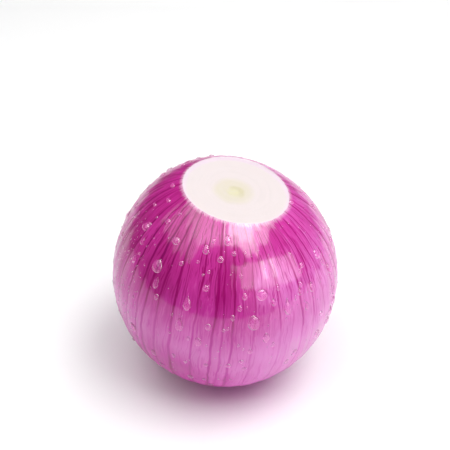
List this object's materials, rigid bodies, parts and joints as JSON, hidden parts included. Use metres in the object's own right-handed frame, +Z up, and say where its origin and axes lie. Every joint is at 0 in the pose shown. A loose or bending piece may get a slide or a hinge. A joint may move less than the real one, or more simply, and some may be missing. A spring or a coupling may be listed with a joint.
{
  "type": "peeled onion",
  "caption": "Peeled red onion bulb, round with low ribs between its veins, its neck cut off flat and its root trimmed to a small flat spot that it stands on.",
  "frame": {"origin": "middle of the flat spot that the bulb stands on, under the middle of the bulb", "axes": "+Z up from the flat spot to the cut face, +X the way the cut face and the bulb's own axis lean, -Y the side that faces the viewer"},
  "size_m": [0.0763, 0.0757, 0.0778],
  "materials": {
    "onion_skin": "gloss",
    "water": "polished"
  },
  "bodies": {
    "root": {"bulb": "onion_skin"}
  },
  "joints": []
}
